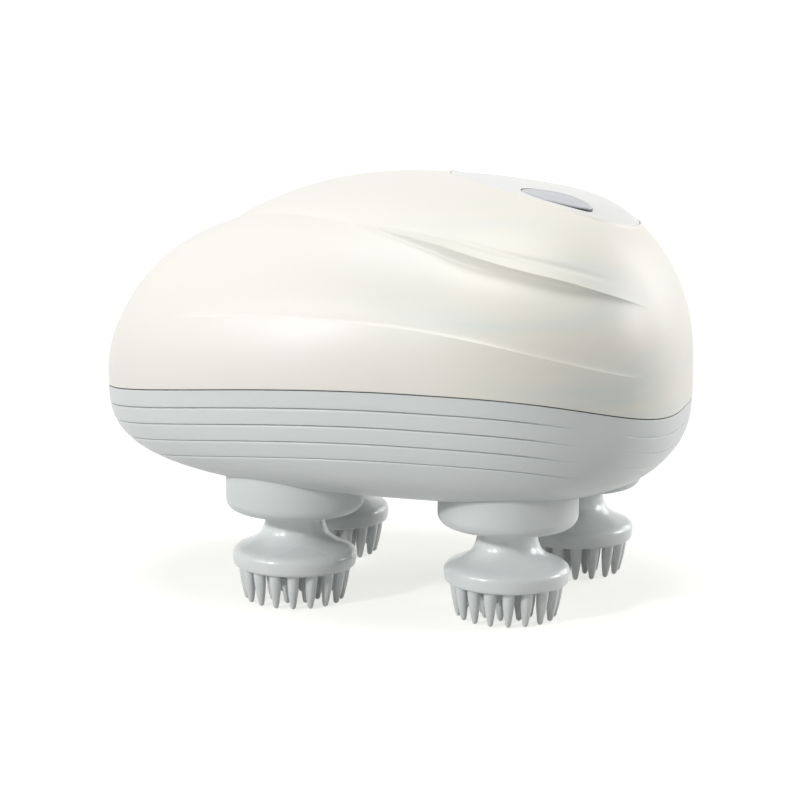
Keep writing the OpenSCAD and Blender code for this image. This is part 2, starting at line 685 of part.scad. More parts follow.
module core(i) {
    color(nylon) at(HEADS[i], core_z) difference() {
        cylinder(r = core_r, h = neck_top - core_z, $fn = 48);
        up(core_floor) cylinder(r = spindle_r, h = neck_top, $fn = 48);
    }
}

module spindle(i) {
    low = core_z + core_floor;
    shoulder_t = bush_z - neck_top - 2 * run_gap;
    color(steel) at(HEADS[i]) union() {
        up(low) cylinder(r = spindle_r, h = head_gear_z + head_gear_w + axial_gap - low, $fn = 48);
        up(neck_top + run_gap) cylinder(r = core_r - 0.6, h = shoulder_t, $fn = 48);
    }
}

module bush(i) {
    color(bronze) at(HEADS[i]) difference() {
        union() {
            up(bush_z) cylinder(r = bush_r, h = base_top - bush_z, $fn = 48);
            up(base_top) cylinder(r = bush_r + 1.3, h = bush_flange_t, $fn = 48);
        }
        up(bush_z - hair) cylinder(r = spindle_r + run_gap, h = 20, $fn = 48);
    }
}

module collar(i) {
    mouth_r = neck_r + neck_gap;
    corner = [for (a = [-90:22.5:0]) [collar_r - collar_round + collar_round * cos(a),
        collar_z + collar_round + collar_round * sin(a)]];
    color(pale_grey) at(HEADS[i]) difference() {
        rotate_extrude($fn = 96) polygon(concat([[0, collar_z]], corner, [[collar_r, base_z], [0, base_z]]));
        up(collar_z - hair) cylinder(r = mouth_r, h = bush_z - collar_z + hair, $fn = 64);
        up(bush_z - hair) cylinder(r = bush_r, h = 20, $fn = 48);
    }
}

// ---- Gears ------------------------------------------------------------------------------

function involute(base_r, r) = let (f = sqrt(max(pow(r / base_r, 2) - 1, 0))) f * 180 / PI - atan(f);

// Outline of a spur gear with a tooth on +X, thinned for backlash and relieved at its root
function gear_outline(m, teeth, backlash) =
    let (pitch_r = m * teeth / 2, base_r = pitch_r * cos(20), tip_r = pitch_r + 0.85 * m,
         root_r = pitch_r - 1.15 * m, foot_r = max(base_r, root_r + 0.1 * m),
         half = 90 / teeth - backlash / 4 / pitch_r * 180 / PI + involute(base_r, pitch_r),
         foot = half - involute(base_r, foot_r), mid_r = (foot_r + tip_r) / 2,
         mid = half - involute(base_r, mid_r), tip = half - involute(base_r, tip_r))
    [for (k = [0:teeth - 1]) let (a = k * 360 / teeth)
        for (p = [[root_r, -foot * 0.75], [foot_r, -foot], [mid_r, -mid], [tip_r, -tip],
            [tip_r, tip], [mid_r, mid], [foot_r, foot], [root_r, foot * 0.75]])
            p[0] * [cos(a + p[1]), sin(a + p[1])]];
module gear_disc(m, teeth, backlash, turn, h) {
    rotate([0, 0, turn]) linear_extrude(h) polygon(gear_outline(m, teeth, backlash));
}

module head_gear(i) {
    turn = head_angle(i) + 180 + 180 / head_gear_teeth;
    color(nylon) at(HEADS[i]) difference() {
        union() {
            up(head_gear_z) gear_disc(slow_module, head_gear_teeth, slow_backlash, turn, head_gear_w);
            up(head_gear_z - 0.3) cylinder(r = spindle_r + 2.4, h = 1, $fn = 48);
        }
        up(head_gear_z - 1) cylinder(r = spindle_r, h = 20, $fn = 48);
    }
}

module idler(i) {
    wheel_turn = (i == 0 ? 0 : 180) + 180 / idler_wheel_teeth;
    color(nylon) at(IDLERS[i]) difference() {
        union() {
            up(base_top + 0.1) cylinder(r = pin_r + 1.5, h = top_z - base_top - 0.2, $fn = 48);
            up(head_gear_z) gear_disc(slow_module, idler_pinion_teeth, slow_backlash,
                head_angle(i), head_gear_w);
            up(head_gear_z + head_gear_w - hair) cylinder(r = 6, h = 2 * axial_gap + 2 * hair, $fn = 48);
            up(idler_wheel_z) gear_disc(slow_module, idler_wheel_teeth, slow_backlash,
                wheel_turn, idler_wheel_w);
        }
        up(base_top) cylinder(r = pin_r + run_gap, h = gear_room, $fn = 48);
        for (a = [0:60:300]) rotate([0, 0, a]) translate([11.5, 0, idler_wheel_z - 1])
            cylinder(r = 2.6, h = idler_wheel_w + 2, $fn = 32);
    }
}

module centre_gear() {
    color(nylon) at(CENTRE) difference() {
        union() {
            up(base_top + 0.1) cylinder(r = pin_r + 1.5, h = top_z - base_top - 0.2, $fn = 48);
            up(idler_wheel_z - 0.3) gear_disc(slow_module, centre_pinion_teeth, slow_backlash, 0,
                centre_wheel_z - idler_wheel_z + 0.3);
            up(centre_wheel_z) gear_disc(fast_module, centre_wheel_teeth, fast_backlash, 90,
                centre_wheel_w);
        }
        up(base_top) cylinder(r = pin_r + run_gap, h = gear_room, $fn = 48);
        for (a = [0:60:300]) rotate([0, 0, a]) translate([13.5, 0, centre_wheel_z - 1])
            cylinder(r = 3.2, h = centre_wheel_w + 2, $fn = 32);
    }
}

module motor_pinion() {
    turn = -90 + 180 / motor_pinion_teeth;
    color(bronze) at(MOTOR, centre_wheel_z) difference() {
        gear_disc(fast_module, motor_pinion_teeth, fast_backlash, turn, centre_wheel_w);
        up(-1) cylinder(r = 1, h = 20, $fn = 32);
    }
}

module motor_shaft() {
    color(steel) at(MOTOR, base_top + motor_l - 5)
        cylinder(r = 1, h = 5 + axial_gap + centre_wheel_w, $fn = 32);
}

// ---- Gearbox, motor and power -----------------------------------------------------------

cup_t = 1;
module base_outline() {
    for (p = HEADS) translate(p) circle(r = collar_r - 0.8, $fn = 64);
    for (p = IDLERS) translate(p) circle(r = 16, $fn = 64);
    polygon(HEADS);
    translate(MOTOR) circle(r = motor_r + cup_t, $fn = 64);
    for (p = POSTS) hull() {
        translate(p) circle(r = post_r + 0.4, $fn = 32);
        translate(mix(p, CENTRE, 0.5)) circle(r = post_r + 2, $fn = 32);
    }
}

module gearbox_base() {
    color("#3b3d40") difference() {
        union() {
            up(base_z) linear_extrude(plate_t) base_outline();
            for (p = POSTS) at(p, base_top - hair) cylinder(r = post_r, h = gear_room + hair, $fn = 48);
            at(MOTOR, base_top - hair) ring(motor_r + cup_t, motor_r, 3);
        }
        for (p = HEADS) at(p, base_z - 1) cylinder(r = bush_r, h = 5, $fn = 48);
        for (p = concat(IDLERS, [CENTRE])) at(p, base_z - 1) cylinder(r = pin_r, h = 5, $fn = 48);
        for (p = POSTS) at(p, base_z - 1) cylinder(r = screw_r, h = 40, $fn = 32);
    }
}

module gearbox_top() {
    color("#3b3d40") up(top_z) difference() {
        linear_extrude(plate_t) union() {
            translate(CENTRE) circle(r = 24, $fn = 96);
            for (p = concat(IDLERS, POSTS)) hull() {
                translate(p) circle(r = post_r + 1, $fn = 32);
                translate(mix(p, CENTRE, 0.6)) circle(r = post_r + 3, $fn = 32);
            }
        }
        for (p = concat(IDLERS, [CENTRE])) at(p, -1) cylinder(r = pin_r, h = 5, $fn = 48);
        for (p = POSTS) at(p, -1) cylinder(r = screw_r, h = 5, $fn = 32);
    }
    color("#3b3d40") for (p = STANDOFFS) at(p, top_z + plate_t - hair)
        cylinder(r = standoff_r, h = standoff_h, $fn = 32);
}

module gear_pins() {
    color(steel) for (p = concat(IDLERS, [CENTRE])) at(p, base_z)
        cylinder(r = pin_r, h = top_z + plate_t - base_z, $fn = 48);
}

module gearbox_screws() {
    color(steel) for (p = POSTS) at(p) union() {
        up(base_z - screw_bite)
            cylinder(r = screw_r, h = top_z + plate_t - base_z + screw_bite + hair, $fn = 32);
        up(top_z + plate_t) cylinder(r = 2.1, h = 1.4, $fn = 32);
    }
}

module cover_screws() {
    color(steel) for (p = COVER_SCREWS) at(p) union() {
        up(cover_screw_seat - 1.6) cylinder(r = cover_screw_r + 1, h = 1.6, $fn = 32);
        up(cover_screw_seat - hair)
            cylinder(r = cover_screw_r, h = cover_boss_z + screw_in_cover - cover_screw_seat, $fn = 32);
    }
}

module motor() {
    color(steel) at(MOTOR, base_top) difference() {
        union() {
            cylinder(r = motor_r, h = motor_l - 0.6, $fn = 96);
            up(motor_l - 0.6 - hair) cylinder(r = motor_r - 0.8, h = 0.6, $fn = 96);
        }
        up(motor_l - 5 - hair) cylinder(r = 1 + run_gap, h = 8, $fn = 32);
    }
}

module battery() {
    color(cell_blue) translate([train_x - 1, -4, battery_z]) hull() for (x = [-1, 1]) for (y = [-1, 1])
        translate([x * (battery_l / 2 - 2), y * (battery_w / 2 - 2), 0])
            cylinder(r = 2, h = battery_t, $fn = 32);
}

module battery_tray() {
    color("#3b3d40") translate([train_x - 1, -4, top_z + plate_t]) difference() {
        translate([-battery_l / 2 - 1.4, -battery_w / 2 - 1.4, 0])
            cube([battery_l + 2.8, battery_w + 2.8, 5]);
        translate([-battery_l / 2 - 0.2, -battery_w / 2 - 0.2, 1])
            cube([battery_l + 0.4, battery_w + 0.4, 5]);
        for (p = concat(IDLERS, [CENTRE], POSTS)) at(p - [train_x - 1, -4], -1)
            cylinder(r = 2.6, h = 8, $fn = 32);
    }
}

module control_board() {
    back_y = port_wall_y - board_back_gap;
    color(board_green) translate([port_x - control_l / 2, back_y - control_w, control_z])
        cube([control_l, control_w, board_t]);
}

module charge_socket() {
    w = slot_w - 2 * socket_gap;
    h = slot_h - 2 * socket_gap;
    color(steel) translate([port_x, port_wall_y - socket_gap - socket_l, port_z]) difference() {
        translate([-w / 2, 0, -h / 2]) cube([w, socket_l, h]);
        translate([0, 1.5, 0]) slot_bar(w - 0.8, h - 0.8, socket_l);
    }
}

// ---- Output -----------------------------------------------------------------------------

lower_shell();
cover();
top_panel();
seam_seal();
power_button();
for (i = [0:3]) {
    collar(i);
    bush(i);
    head(i);
    core(i);
    spindle(i);
    head_gear(i);
}
gearbox_base();
gearbox_top();
gear_pins();
idler(0);  // idler_left
idler(1);  // idler_right
centre_gear();
motor();
motor_shaft();
motor_pinion();
battery();
battery_tray();
switch_board();
tact_switch();
control_board();
charge_socket();
gearbox_screws();
cover_screws();
board_screws();
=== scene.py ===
import math

import bmesh
import bpy
import numpy as np
from mathutils import Matrix, Vector


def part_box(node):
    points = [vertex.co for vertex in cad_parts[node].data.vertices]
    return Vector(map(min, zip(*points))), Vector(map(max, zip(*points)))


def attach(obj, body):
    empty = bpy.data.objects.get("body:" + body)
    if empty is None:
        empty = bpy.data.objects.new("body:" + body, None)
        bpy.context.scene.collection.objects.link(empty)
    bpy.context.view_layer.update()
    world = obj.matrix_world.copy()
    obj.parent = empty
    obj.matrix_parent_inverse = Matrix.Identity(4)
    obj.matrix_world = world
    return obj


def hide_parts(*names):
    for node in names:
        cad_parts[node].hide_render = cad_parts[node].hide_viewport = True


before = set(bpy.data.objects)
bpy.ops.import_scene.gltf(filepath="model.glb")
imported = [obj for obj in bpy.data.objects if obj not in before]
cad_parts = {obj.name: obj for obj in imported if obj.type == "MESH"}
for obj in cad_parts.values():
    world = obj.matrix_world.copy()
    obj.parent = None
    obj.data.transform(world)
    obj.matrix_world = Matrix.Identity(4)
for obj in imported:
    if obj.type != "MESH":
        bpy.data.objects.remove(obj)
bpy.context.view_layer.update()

MM = 0.001
CORNERS = ("front_left", "front_right", "rear_right", "rear_left")


def clear_selection():
    if bpy.context.object and bpy.context.object.mode != "OBJECT":
        bpy.ops.object.mode_set(mode="OBJECT")
    bpy.ops.object.select_all(action="DESELECT")


def pick(piece):
    clear_selection()
    piece.select_set(True)
    bpy.context.view_layer.objects.active = piece
    return piece


def edit(piece, by="VERT"):
    pick(piece)
    bpy.ops.object.mode_set(mode="EDIT")
    bpy.ops.mesh.select_mode(type=by)


def leave_edit():
    bpy.ops.object.mode_set(mode="OBJECT")


def named(name):
    """Names the object that was just added."""
    piece = bpy.context.object
    piece.name = piece.data.name = name
    return piece


def settle(piece):
    """Puts the piece's place into its mesh."""
    pick(piece)
    bpy.ops.object.transform_apply(location=True, rotation=True, scale=True)
    return piece


def soften(piece, angle):
    """Smooth shading that keeps the edges sharper than the angle, in degrees."""
    pick(piece)
    bpy.ops.object.shade_smooth_by_angle(angle=math.radians(angle))
    return piece


def tidy_faces(piece, gap=1e-6, angle=None):
    """Merges doubles, turns the faces outwards and shades the piece smooth."""
    edit(piece)
    bpy.ops.mesh.select_all(action="SELECT")
    bpy.ops.mesh.remove_doubles(threshold=gap)
    bpy.ops.mesh.normals_make_consistent(inside=False)
    leave_edit()
    if angle is None:
        bpy.ops.object.shade_smooth()
        return piece
    return soften(piece, angle)


def carve(piece, cutter):
    """Cuts the cutter's shape out of the piece and removes the cutter."""
    pick(piece)
    cut = piece.modifiers.new("cut", "BOOLEAN")
    cut.operation, cut.solver, cut.object = "DIFFERENCE", "EXACT", cutter
    bpy.ops.object.modifier_apply(modifier="cut")
    bpy.data.objects.remove(cutter, do_unlink=True)
    return piece


def join(pieces):
    clear_selection()
    for piece in pieces:
        piece.select_set(True)
    bpy.context.view_layer.objects.active = pieces[0]
    bpy.ops.object.join()
    return pieces[0]


def copied(piece, name, place):
    """A copy with a mesh of its own, put in its place by a matrix."""
    other = piece.copy()
    other.data = piece.data.copy()
    other.name = other.data.name = name
    bpy.context.scene.collection.objects.link(other)
    other.data.transform(place)
    return other


def rod(name, radius, height, place, sides):
    """A plain cylinder whose place is in its mesh, in metres."""
    clear_selection()
    bpy.ops.mesh.primitive_cylinder_add(vertices=sides, radius=radius, depth=height, location=place)
    return settle(named(name))


# ---- The sculpted body ----------------------------------------------------------------------
# The same egg-shaped form as the solids', in millimetres. t is the angle round the plan.

# The plan: reach to the pointed end, to the blunt end and to the side, its widest x and squareness
LEFT, RIGHT, HALF_W, WIDEST_X, SQUARE = 75.0, 47.0, 45.0, 14.0, 2.6
# The side view: the waist, the dome over it and the belly under it
WAIST_Z, RISE, DROP, BELLY_FULL = 45.7, 41.9, 22.4, 3.6
FULL_MID, FULL_HALF = 2.18, 0.32
CREST_SINK, CROWN_BUMP, PANEL_DIP, CORNER_BUMP = 2.1, 0.5, 0.7, 0.9
CREST_Z = 87.45
# Walls, the panel's thickness, its ledge and the gap round it
WALL, CROWN_WALL, PANEL_T, LEDGE, PANEL_GAP = 2.2, 3.6, 1.6, 1.0, 0.15
# The parting line: its height at the widest x, its fall to the ends, its gap and the lip in it
PARTING_Z, PARTING_FALL, SEAM, LIP = 49.2, 7.8, 0.5, 0.14
# The waves: the lower one's height and fall, then the forms along the upper one
LOW_WAVE_Z, LOW_WAVE_FALL = 62, 11
SWELL, HOLLOW, EDGE, FOLD = 1.2, 2.2, -0.1, 0.8
# The panel's middle
PANEL_X, PANEL_Y = 29, 7
TURN = 360


def spow(v, e):
    return np.sign(v) * np.abs(v) ** e


def mix(a, b, w):
    return a + (b - a) * w


def smooth(v):
    v = np.clip(v, 0, 1)
    return v * v * (3 - 2 * v)


def hump(x, middle, width):
    return np.exp(-((x - middle) / width) ** 2)


def span(a, b):
    return np.linalg.norm(a - b, axis=-1)


def half_x(dx):
    return np.where(dx < 0, LEFT, RIGHT)


def dome_full(dx):
    return FULL_MID + FULL_HALF * np.tanh(1.6 * dx)


def crest_rise(x):
    """The dome's full height over the waist: it sinks to the blunt end, with a crown on its left."""
    return (RISE - CREST_SINK * x / 60 + CROWN_BUMP * hump(x, -30, 15) - PANEL_DIP * hump(x, 9, 12)
            + CORNER_BUMP * hump(x, 30, 9))


def directions(t):
    return spow(np.cos(t), 2 / SQUARE), spow(np.sin(t), 2 / SQUARE)


def dome_point(t, h):
    dx, dy = directions(t)
    n = dome_full(dx)
    s = np.maximum(1 - np.maximum(h, 0) ** n, 0) ** (1 / n)
    x = half_x(dx) * dx * s
    return np.stack([WIDEST_X + x, HALF_W * dy * s, WAIST_Z + h * crest_rise(x)], -1)


def belly_share(s):
    """The belly's height at a share of its plan, and its share of the plan at a height."""
    return np.maximum(1 - np.abs(s) ** BELLY_FULL, 0) ** (1 / BELLY_FULL)


def belly_point(t, h):
    dx, dy = directions(t)
    s = belly_share(h)
    x, y = WIDEST_X + half_x(dx) * dx * s, HALF_W * dy * s
    return np.stack(np.broadcast_arrays(x, y, WAIST_Z - h * DROP), -1)


def rise_at(t):
    dx, _ = directions(t)
    return crest_rise(half_x(dx) * dx)


def side_point(t, z):
    """The point of the outer surface at an angle and a height."""
    up = dome_point(t, (z - WAIST_Z) / rise_at(t))
    down = belly_point(t, (WAIST_Z - z) / DROP)
    return np.where((z >= WAIST_Z)[..., None], up, down)


def plan_radius(x, y):
    dx = x - WIDEST_X
    return (np.abs(dx / half_x(dx)) ** SQUARE + np.abs(y / HALF_W) ** SQUARE) ** (1 / SQUARE)


def plan_angle(x, y):
    r = np.maximum(plan_radius(x, y), 1e-3)
    dx = x - WIDEST_X
    return np.arctan2(spow(y / HALF_W / r, SQUARE / 2), spow(dx / half_x(dx) / r, SQUARE / 2))


def dome_h(x, y):
    r = np.maximum(plan_radius(x, y), 1e-3)
    dx = x - WIDEST_X
    n = dome_full(dx / half_x(dx) / r)
    return np.maximum(1 - r ** n, 0) ** (1 / n)


def on_dome(x, y):
    return np.stack([x, y, WAIST_Z + dome_h(x, y) * crest_rise(x - WIDEST_X)], -1)


def outward(p):
    """The unit normal of the plain form at its points."""
    x, up = p[..., 0] - WIDEST_X, p[..., 2] >= WAIST_Z
    ux, uy = x / half_x(x), p[..., 1] / HALF_W
    r = np.maximum(plan_radius(p[..., 0], p[..., 1]), 1e-3)
    n = np.where(up, dome_full(ux / r), BELLY_FULL)
    c = np.where(up, RISE, DROP)
    k = r ** (n - SQUARE)
    v = np.stack([k * spow(ux, SQUARE - 1) / half_x(x), k * spow(uy, SQUARE - 1) / HALF_W,
                  spow((p[..., 2] - WAIST_Z) / c, n - 1) / c], -1)
    return v / np.maximum(np.linalg.norm(v, axis=-1, keepdims=True), 1e-9)


def lift(p, d):
    return p + outward(p) * np.asarray(d)[..., None]


def parting_at(t):
    dx, _ = directions(t)
    return PARTING_Z - PARTING_FALL * np.abs(dx) ** np.where(dx < 0, 2, 3)


def low_wave_at(t):
    dx, _ = directions(t)
    x = WIDEST_X + half_x(dx) * dx
    return LOW_WAVE_Z - LOW_WAVE_FALL * (np.abs(x + 8) / 66) ** np.where(x < -8, 2.2, 2.6)


def egg(t, x0, left, right, half_w, blunt, square_left, square_right):
    e = 2 / np.where(np.cos(t) < 0, square_left, square_right)
    cx = spow(np.cos(t), e)
    return x0 + np.where(np.cos(t) < 0, left, right) * cx, half_w * spow(np.sin(t), e) * (1 + blunt * cx)


def great_plan(t):
    """The upper wave's plan."""
    return egg(t, 16, 59.2, 43.7, 32, 0.45, 2.44, 2)


def panel_plan(t, gap=0.0):
    half_w = np.where(np.sin(t) < 0, 19.3, 16) - gap
    x, y = egg(t, PANEL_X, 19.6 - gap, 19.6 - gap, half_w, 0.33, 2.8, 2.3)
    return x, PANEL_Y + y


def low_wave_lift(t, below, above):
    """Height off the plain form near the lower wave: a thin edge that swells under it."""
    x, _ = directions(t)
    fade = smooth((x + 0.78) / 0.25) * mix(1, 0.35, smooth((x - 0.25) / 0.3)) * smooth((0.96 - x) / 0.2)
    near = np.exp(-above / 0.7)
    up = 0.7 * near - 0.3 * np.exp(-above / 7) * (1 - near)
    return 0.7 * fade * np.where(above > 0, up, 0.7 * np.exp(-below / 9))


def great_wave_lift(t, below, above):
    """Height off the plain form near the upper wave.

    The pointed end has a hollow above a swell, and the sides have a fold above a pocket.
    """
    x, _ = directions(t)
    side = smooth((x + 0.48) / 0.7)
    fold, nose = side * smooth((0.965 - x) / 0.34), 1 - side
    pocket = 1.4 + 0.7 * smooth((0.7 - x) / 0.5)
    over, under = np.exp(-above / 0.9), np.exp(-below / 0.6)
    up = nose * (EDGE * over - HOLLOW * np.exp(-above / 8) * (1 - over)) \
        + fold * (FOLD * np.exp(-above / 1.9) - 0.3 * hump(above, 2.6, 0.55))
    down = nose * (SWELL * np.exp(-below / 14) * (1 - np.exp(-below / 6)) + EDGE * np.exp(-below / 3)) \
        + fold * (FOLD * under - pocket * np.exp(-below / 4.4) * (1 - under))
    return np.where(above > 0, up, down)


# The rings of the cover, each from w = 0 at its lower edge to w = 1 at its upper edge

def low_ring(t, w):
    """From the parting line to the lower wave."""
    z0, z1 = parting_at(t) + SEAM / 2, low_wave_at(t)
    return lift(side_point(t, mix(z0, z1, w)), low_wave_lift(t, (z1 - z0) * (1 - w), 0))


def mid_ring(t, w):
    """From the lower wave to the upper one."""
    gx, gy = great_plan(t)
    z1 = low_wave_at(t)
    reach = span(on_dome(gx, gy), side_point(t, z1))
    p = dome_point(mix(t, plan_angle(gx, gy), w), mix((z1 - WAIST_Z) / rise_at(t), dome_h(gx, gy), w))
    return lift(p, low_wave_lift(t, 0, reach * w) + smooth(w / 0.4) * great_wave_lift(t, reach * (1 - w), 0))


def top_ring(t, w):
    """From the upper wave to the panel, with a bead at the panel that stays under the crest."""
    (gx, gy), (px, py) = great_plan(t), panel_plan(t)
    reach = span(on_dome(px, py), on_dome(gx, gy))
    p = on_dome(mix(gx, px, w), mix(gy, py, w))
    bead = 0.22 * hump(reach * (1 - w), 0.5, 0.42) * smooth((CREST_Z - p[..., 2]) / 0.6)
    return lift(p, great_wave_lift(t, 0, reach * w) + bead)


def panel_ring(t, w, gap, sink):
    """From the panel's edge to its middle, let down by sink."""
    x, y = panel_plan(t, gap)
    p = on_dome(mix(x, PANEL_X, w), mix(y, PANEL_Y, w))
    p[..., 2] -= sink
    return p


def belly_ring(t, drop, depth=0.0):
    """Round the flank, drop under the parting line. A groove's depth fades out before the blunt end."""
    p = side_point(t, parting_at(t) - SEAM / 2 - drop)
    x = p[..., 0]
    end = np.where(x < 54, 0, 0.4 * np.minimum(1, (x - 54) / 4))
    return lift(p, -depth * np.where(x < 36, 1, np.where(x < 47, (47 - x) / 11, end)))


def floor_ring(t, w, last):
    """From the lowest flank ring to the middle of the underside."""
    p = side_point(t, parting_at(t) - SEAM / 2 - last)
    return belly_point(t, belly_share(plan_radius(p[..., 0], p[..., 1]) * (1 - w)))


def places(piece):
    place = np.empty(len(piece.data.vertices) * 3)
    piece.data.vertices.foreach_get("co", place)
    return place.reshape(-1, 3).T


def lay(piece, points):
    """Moves the vertices to the points, in millimetres, and closes the piece."""
    piece.data.vertices.foreach_set("co", (points * MM).ravel())
    piece.data.update()
    return tidy_faces(piece)


def closed_shell(name, rings):
    """A torus whose tube sections are laid along the rings, first to last and round again."""
    clear_selection()
    count = len(rings)
    bpy.ops.mesh.primitive_torus_add(major_segments=TURN, minor_segments=count, major_radius=1,
                                     minor_radius=0.3)
    piece = named(name)
    x, y, z = places(piece)
    i = np.rint(np.arctan2(y, x) / (2 * math.pi) * TURN).astype(int) % TURN
    j = np.rint(np.arctan2(z, np.hypot(x, y) - 1) / (2 * math.pi) * count).astype(int) % count
    return lay(piece, np.array(rings)[j, i])


def closed_bowl(name, rings, low, high, turn=TURN):
    """A sphere whose parallels are laid along the rings, between two end points."""
    clear_selection()
    count = len(rings) + 1
    bpy.ops.mesh.primitive_uv_sphere_add(segments=turn, ring_count=count, radius=1)
    piece = named(name)
    x, y, z = places(piece)
    i = np.rint(np.arctan2(y, x) / (2 * math.pi) * turn).astype(int) % turn
    j = np.rint((math.pi / 2 + np.arcsin(np.clip(z, -1, 1))) / math.pi * count).astype(int)
    ends = [np.broadcast_to(end, (1, turn, 3)) for end in (low, high)]
    return lay(piece, np.concatenate([ends[0], np.array(rings), ends[1]])[j, i])


def eased(n, start=1.0, end=1.0):
    """Steps from 0 to 1 that are finer near the ends by the given powers."""
    u = np.linspace(0, 1, n)
    return mix(u ** start, 1 - (1 - u) ** end, u)


def angles(count):
    t = np.arange(count) * 2 * math.pi / count
    return np.where(t > math.pi, t - 2 * math.pi, t)


ANGLES = angles(TURN)
CREASE = 32
# The charging slot's middle, size and corner radius, in metres
SLOT_AT, SLOT_SIZE, SLOT_CORNER = (0.014, 0.0435, 0.05932), (0.0094, 0.012, 0.0036), 0.00179


def make_slot_cutter():
    """A bar through the back wall, with its four long edges rounded."""
    clear_selection()
    bpy.ops.mesh.primitive_cube_add(size=1, location=SLOT_AT)
    slot = named("slot_cutter")
    slot.scale = SLOT_SIZE
    settle(slot)
    edit(slot, "EDGE")
    bpy.ops.mesh.select_all(action="DESELECT")
    mesh = bmesh.from_edit_mesh(slot.data)
    for edge in mesh.edges:
        a, b = edge.verts
        edge.select = abs(a.co.y - b.co.y) > SLOT_SIZE[1] / 2
    bmesh.update_edit_mesh(slot.data)
    bpy.ops.mesh.bevel(offset=SLOT_CORNER, segments=10, affect="EDGES")
    leave_edit()
    return slot


def make_cover():
    t = ANGLES
    foot = low_ring(t, 0)
    outer = [lift(foot, d) - [0, 0, sink]
             for d, sink in ((-0.33, 0), (-0.3, LIP), (-0.1, LIP), (-0.02, LIP - 0.07))]
    outer += [low_ring(t, w) for w in eased(26, 1.6, 2)]
    outer += [mid_ring(t, w) for w in eased(66, 2.2, 2.4)[1:]]
    outer += [top_ring(t, w) for w in eased(64, 2.2, 1.4)[1:-1]]
    rim = top_ring(t, 1)
    outer += [top_ring(t, 0.994), lift(rim, -0.06), rim - [0, 0, 0.3]]
    outer += [panel_ring(t, 0, gap, sink)
              for gap, sink in ((0, PANEL_T - 0.1), (0, PANEL_T), (LEDGE, PANEL_T))]
    gx, gy = panel_plan(t, LEDGE)
    a, top_h = plan_angle(gx, gy), dome_h(gx, gy)
    foot_z = parting_at(t) + SEAM / 2
    low_h = (foot_z - WAIST_Z) / rise_at(t)
    inner = []
    for w in np.linspace(0, 1, 20):
        h = mix(top_h, low_h, w)
        p = np.where((h >= 0)[..., None], dome_point(mix(a, t, smooth(w * 1.5)), h),
                     side_point(t, WAIST_Z + h * rise_at(t)))
        inner.append(lift(p, -(WALL + (CROWN_WALL - WALL) * np.clip(h, 0, 1))))
    inner.append(inner[-1].copy())
    inner[-1][:, 2] = foot_z
    return tidy_faces(carve(closed_shell("cover_shell", outer + inner), make_slot_cutter()), 1e-7, CREASE)


def collar_centre(corner, z=0.0):
    low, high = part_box("collar_" + corner)
    return (low[0] + high[0]) / 2, (low[1] + high[1]) / 2, z


# A groove's section: steps down the flank from its bottom, and the share of its depth
GROOVE = ((0.55, 0), (0.36, 0.03), (0.22, 0.12), (0.13, 0.32), (0.09, 0.9), (0, 1),
          (-0.07, 0.95), (-0.1, 0.3), (-0.14, 0.03), (-0.3, 0))
GROOVES, GROOVE_PITCH, GROOVE_DEPTH = 4, 3.4, 0.55


def make_belly():
    t = ANGLES
    last = GROOVES * GROOVE_PITCH + 0.5
    outer = [floor_ring(t, w, last) for w in np.linspace(0.97, 0.03, 34)]
    for k in range(GROOVES, 0, -1):
        low = k * GROOVE_PITCH
        outer += [belly_ring(t, low + d, share * GROOVE_DEPTH) for d, share in GROOVE]
        outer += [belly_ring(t, low - d) for d in ((1.1, 1.9, 2.6) if k > 1 else (1.0, 1.6, 2.2, 2.7))]
    outer += [belly_ring(t, drop) for drop in (0.3, 0.1, -0.05)] + [belly_ring(t, 0.07 - LIP, 0.02)]
    outer += [lift(belly_ring(t, -rise), d) for d, rise in ((-0.1, LIP), (-0.3, LIP), (-0.33, 0))]
    top = parting_at(t) - SEAM / 2
    inner = [lift(side_point(t, top), -WALL)]
    inner[0][:, 2] = top
    inner += [lift(belly_point(t, belly_share(mix(1, 0.04, w))), -WALL) for w in np.linspace(0, 1, 16)[1:]]
    middle = np.array((WIDEST_X, 0, WAIST_Z - DROP))
    piece = closed_bowl("belly_shell", outer + inner, middle, middle + [0, 0, WALL])
    for corner in CORNERS:
        carve(piece, rod("collar_cutter", 0.0144, 0.03, collar_centre(corner, 0.0305), 160))
    for side in (-0.013, 0.013):
        carve(piece, rod("screw_cutter", 0.0024, 0.012, (-0.047, side, 0.026), 48))
    return tidy_faces(piece, 1e-7, CREASE)


# ---- Panel and button -----------------------------------------------------------------------

BUTTON_X, BUTTON_Y, BUTTON_L, BUTTON_W, BUTTON_TURN = 34.8, -7.7, 15.2, 8.6, math.radians(-6)
# The cap: its rise over the panel, its slope along its length, its curve and its dished face
CAP_RISE, CAP_SLOPE, CAP_CURVE, CAP_DISH = 0.35, 0.022, 42, 0.16
# The foot's widening, top and bottom, and the number of steps round the ovals
FOOT_MORE, FOOT_TOP, FOOT_LOW, OVAL_TURN = 1.2, -3, -4, 160


def button_frame():
    """The matrix that seats the button's own frame on the dome, along its normal."""
    p = on_dome(np.array([BUTTON_X]), np.array([BUTTON_Y]))
    step = on_dome(BUTTON_X + np.array([0.5, -0.5, 0, 0]), BUTTON_Y + np.array([0, 0, 0.5, -0.5]))
    out = Vector(np.cross(step[0] - step[1], step[2] - step[3])).normalized()
    way = math.atan2(out.y, out.x)
    tilt = math.acos(out.z)
    return (Matrix.Translation(Vector(p[0]) * MM) @ Matrix.Rotation(way, 4, "Z")
            @ Matrix.Rotation(tilt, 4, "Y") @ Matrix.Rotation(BUTTON_TURN - way, 4, "Z"))


